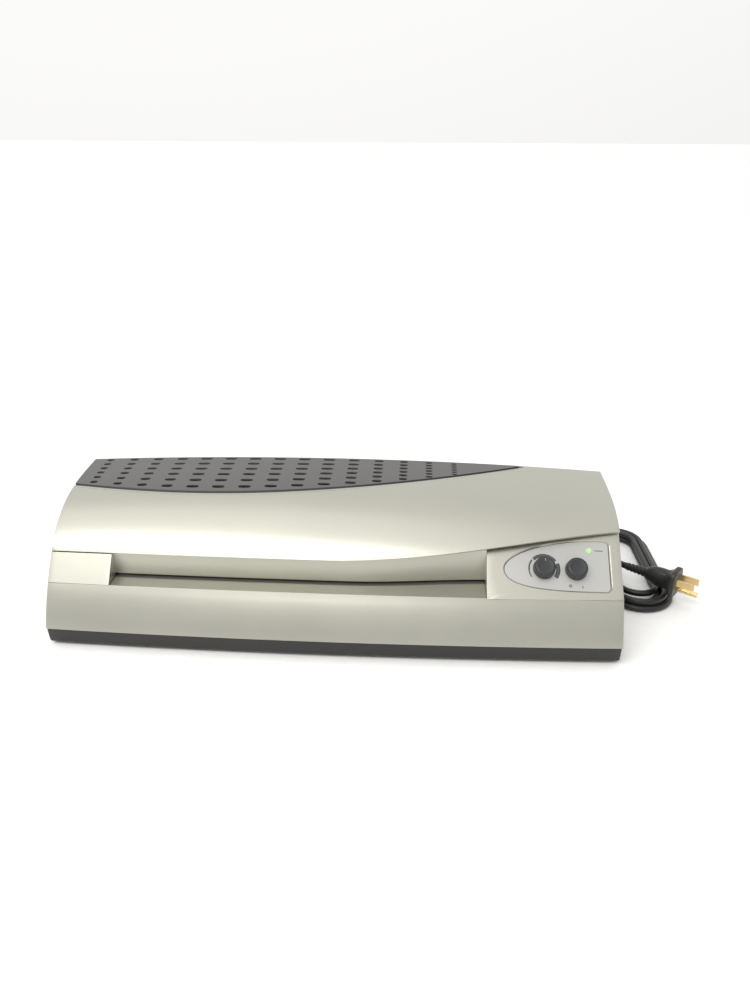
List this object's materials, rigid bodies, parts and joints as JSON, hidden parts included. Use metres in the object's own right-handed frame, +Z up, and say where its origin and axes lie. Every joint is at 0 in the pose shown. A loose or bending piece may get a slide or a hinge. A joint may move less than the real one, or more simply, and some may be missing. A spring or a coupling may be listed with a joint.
{
  "type": "pouch laminator",
  "caption": "Desktop pouch laminator with a long feed slot, swept cover, curved vent grille, leaf-shaped control panel with two knobs, heated plates, rubber rollers and a mains cord.",
  "frame": {"origin": "on the table, under the middle of the casing", "axes": "+X along the casing to the right as seen from the feed side, +Y to the exit side, +Z up"},
  "size_m": [0.5789, 0.2524, 0.119],
  "materials": {
    "black_plastic": "fine moulded texture",
    "silver_shell": "satin metallic paint on moulded plastic",
    "grille_plastic": "dark warm grey, fine texture",
    "label_plate": "cool grey satin panel",
    "lens": "lit green lens",
    "black_rubber": "matt",
    "screw_steel": "zinc plated",
    "knob_plastic": "satin black",
    "switch_plastic": "moulded",
    "circuit_board": "green solder resist",
    "component_plastic": "moulded",
    "terminal_plastic": "moulded",
    "wire_insulation": "satin",
    "frame_steel": "galvanised sheet",
    "plate_aluminium": "extruded, bare",
    "heater_film": "amber film",
    "thermostat_metal": "plated",
    "shaft_steel": "ground",
    "silicone_rubber": "satin red silicone",
    "gear_nylon": "natural nylon",
    "bronze": "sintered bronze",
    "spring_steel": "drawn wire",
    "brass": "bright",
    "motor_can": "plated can",
    "cord_jacket": "satin black",
    "plug_rubber": "satin black"
  },
  "bodies": {
    "housing": {"base_tray": "black_plastic", "lower_cover": "silver_shell", "feed_fascia": "silver_shell", "upper_cover": "silver_shell", "vent_grille": "grille_plastic", "control_plate": "label_plate", "ready_lens": "lens", "rubber_feet": "black_rubber", "casing_screws": "screw_steel", "selector_switch": "switch_plastic", "power_switch": "switch_plastic", "control_board": "circuit_board", "board_components": "component_plastic", "terminal_block": "terminal_plastic", "internal_wiring": "wire_insulation", "left_frame": "frame_steel", "right_frame": "frame_steel", "front_crossbar": "frame_steel", "rear_crossbar": "frame_steel", "frame_screws": "screw_steel", "feed_guide_lower": "frame_steel", "feed_guide_upper": "frame_steel", "exit_guide_lower": "black_plastic", "exit_guide_upper": "black_plastic", "upper_heater_plate": "plate_aluminium", "lower_heater_plate": "plate_aluminium", "upper_heating_strip": "heater_film", "lower_heating_strip": "heater_film", "thermostat_switches": "thermostat_metal", "thermal_fuse": "thermostat_metal", "lower_bushes": "bronze", "front_pressure_springs": "spring_steel", "rear_pressure_springs": "spring_steel", "idler_pin": "shaft_steel", "motor_body": "motor_can", "motor_bracket": "frame_steel", "strain_relief": "black_rubber", "power_cord": "cord_jacket", "cord_hank": "cord_jacket", "plug_lead": "cord_jacket", "plug_body": "plug_rubber", "plug_blades": "brass"},
    "selector": {"selector_knob": "knob_plastic"},
    "power_control": {"power_knob": "knob_plastic"},
    "front_lower_roller": {"front_lower_shaft": "shaft_steel", "front_lower_sleeve": "silicone_rubber", "front_lower_gear": "gear_nylon"},
    "front_upper_carrier": {"front_upper_bushes": "bronze"},
    "front_upper_roller": {"front_upper_shaft": "shaft_steel", "front_upper_sleeve": "silicone_rubber", "front_upper_gear": "gear_nylon"},
    "rear_lower_roller": {"rear_lower_shaft": "shaft_steel", "rear_lower_sleeve": "silicone_rubber", "rear_lower_gear": "gear_nylon"},
    "rear_upper_carrier": {"rear_upper_bushes": "bronze"},
    "rear_upper_roller": {"rear_upper_shaft": "shaft_steel", "rear_upper_sleeve": "silicone_rubber", "rear_upper_gear": "gear_nylon"},
    "idler": {"idler_gear": "gear_nylon"},
    "motor_rotor": {"motor_pinion": "brass"}
  },
  "joints": [
    {"name": "selector_turn", "type": "hinge", "parent": "housing", "child": "selector", "pos_m": [0.1795, -0.04759, 0.07093], "axis": [0.0262, -0.6663, 0.7452], "range_deg": [-90, 90]},
    {"name": "power_turn", "type": "hinge", "parent": "housing", "child": "power_control", "pos_m": [0.20649, -0.04711, 0.07041], "axis": [0.0262, -0.6663, 0.7452], "range_deg": [-40, 0]},
    {"name": "front_lower_spin", "type": "hinge", "parent": "housing", "child": "front_lower_roller", "pos_m": [0, -0.018, 0.043], "axis": [1, 0, 0], "continuous": true},
    {"name": "front_upper_lift", "type": "slide", "parent": "housing", "child": "front_upper_carrier", "axis": [0, 0, 1], "range_m": [0, 0.001], "stiffness_N_per_m": 4000, "springref_m": -0.004, "deforming": ["front_pressure_springs"]},
    {"name": "front_upper_spin", "type": "hinge", "parent": "front_upper_carrier", "child": "front_upper_roller", "pos_m": [0, -0.018, 0.0654], "axis": [1, 0, 0], "continuous": true},
    {"name": "rear_lower_spin", "type": "hinge", "parent": "housing", "child": "rear_lower_roller", "pos_m": [0, 0.0492, 0.043], "axis": [1, 0, 0], "continuous": true},
    {"name": "rear_upper_lift", "type": "slide", "parent": "housing", "child": "rear_upper_carrier", "axis": [0, 0, 1], "range_m": [0, 0.001], "stiffness_N_per_m": 4000, "springref_m": -0.004, "deforming": ["rear_pressure_springs"]},
    {"name": "rear_upper_spin", "type": "hinge", "parent": "rear_upper_carrier", "child": "rear_upper_roller", "pos_m": [0, 0.0492, 0.0654], "axis": [1, 0, 0], "continuous": true},
    {"name": "idler_spin", "type": "hinge", "parent": "housing", "child": "idler", "pos_m": [0.1, 0.0156, 0.043], "axis": [1, 0, 0], "continuous": true},
    {"name": "pinion_spin", "type": "hinge", "parent": "housing", "child": "motor_rotor", "pos_m": [0.15, 0.03619, 0.02241], "axis": [1, 0, 0], "continuous": true}
  ],
  "couplings": [
    {"joint": "front_upper_spin", "follows": "front_lower_spin", "ratio": -1},
    {"joint": "rear_lower_spin", "follows": "front_lower_spin", "ratio": 1},
    {"joint": "rear_upper_spin", "follows": "front_lower_spin", "ratio": -1},
    {"joint": "idler_spin", "follows": "front_lower_spin", "ratio": -0.5},
    {"joint": "pinion_spin", "follows": "front_lower_spin", "ratio": 1.6667}
  ]
}
